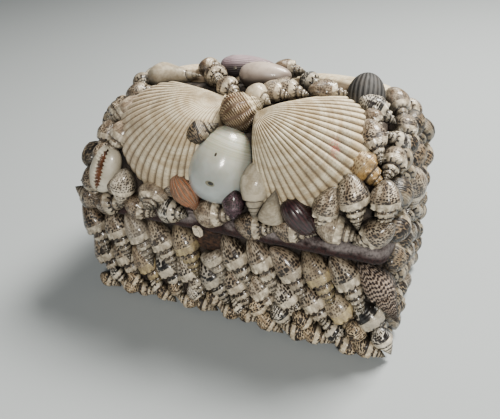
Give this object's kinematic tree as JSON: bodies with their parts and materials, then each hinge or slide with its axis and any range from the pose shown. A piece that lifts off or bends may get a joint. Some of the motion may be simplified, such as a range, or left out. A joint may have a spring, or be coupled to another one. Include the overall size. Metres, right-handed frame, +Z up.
{
  "type": "shell box",
  "caption": "Small hollow trinket box with an arched lift-off lid, covered all over in sea shells set in glue: scallops and a moon snail on top, slanted whelks on the walls.",
  "frame": {"origin": "middle of the underside, on the surface that the box stands on", "axes": "+X along the front wall to the right, +Y from the front wall to the back, +Z up"},
  "size_m": [0.1354, 0.0845, 0.0983],
  "materials": {
    "velvet": "matt maroon velvet over card",
    "glue": "dull dried glue",
    "spotted_shell": "cream shell with dark brown dots, slightly worn gloss",
    "cream_shell": "plain cream shell",
    "scallop_shell": "ivory ribbed shell, satin",
    "moon_snail_shell": "bluish white shell, glossy",
    "amber_shell": "amber shell",
    "orange_shell": "orange-pink beaded shell",
    "dark_shell": "dark maroon shell",
    "striped_shell": "grey and black striped shell",
    "lilac_shell": "lilac shell",
    "taupe_shell": "taupe smooth shell"
  },
  "bodies": {
    "root": {"box_body": "velvet", "lid_body": "velvet", "box_glue": "glue", "lid_glue": "glue", "moon_snail": "moon_snail_shell", "turban": "spotted_shell", "money_cowrie": "cream_shell", "orange_whelk": "orange_shell", "plain_whelk": "cream_shell", "cream_cone": "cream_shell", "maroon_shell": "dark_shell", "nodular_whelk": "spotted_shell", "spotted_whelk": "spotted_shell", "amber_whelk": "amber_shell", "striped_nerite": "striped_shell", "big_conch": "cream_shell", "taupe_cowrie": "taupe_shell", "lilac_shell": "lilac_shell", "corner_whelk": "spotted_shell", "lid_front_left_band": "spotted_shell", "lid_right_band": "spotted_shell", "lid_left_band": "spotted_shell", "lid_ridge_left_band": "spotted_shell", "lid_ridge_right_band": "spotted_shell", "lid_front_lower_row": "spotted_shell", "lid_right_end_shells": "spotted_shell", "lid_left_end_shells": "spotted_shell", "lid_back_shells": "spotted_shell", "scallop_front_left": "scallop_shell", "scallop_front_right": "scallop_shell", "scallop_back_right": "scallop_shell", "scallop_back_left": "scallop_shell", "front_upper_whelk_01": "spotted_shell", "front_upper_whelk_02": "spotted_shell", "front_upper_whelk_03": "spotted_shell", "front_upper_whelk_04": "spotted_shell", "front_upper_whelk_05": "spotted_shell", "front_upper_whelk_06": "spotted_shell", "front_upper_whelk_07": "spotted_shell", "front_upper_whelk_08": "spotted_shell", "front_upper_whelk_09": "spotted_shell", "front_upper_whelk_10": "spotted_shell", "front_upper_whelk_11": "spotted_shell", "front_upper_whelk_12": "spotted_shell", "front_lower_whelk_01": "spotted_shell", "front_lower_whelk_02": "spotted_shell", "front_lower_whelk_03": "spotted_shell", "front_lower_whelk_04": "spotted_shell", "front_lower_whelk_05": "spotted_shell", "front_lower_whelk_06": "spotted_shell", "front_lower_whelk_07": "spotted_shell", "front_lower_whelk_08": "spotted_shell", "front_lower_whelk_09": "spotted_shell", "front_lower_whelk_10": "spotted_shell", "front_lower_whelk_11": "spotted_shell", "front_lower_whelk_12": "spotted_shell", "front_edge_shells": "spotted_shell", "right_wall_whelks": "spotted_shell", "left_wall_whelks": "spotted_shell", "back_wall_whelks": "spotted_shell"}
  },
  "joints": []
}
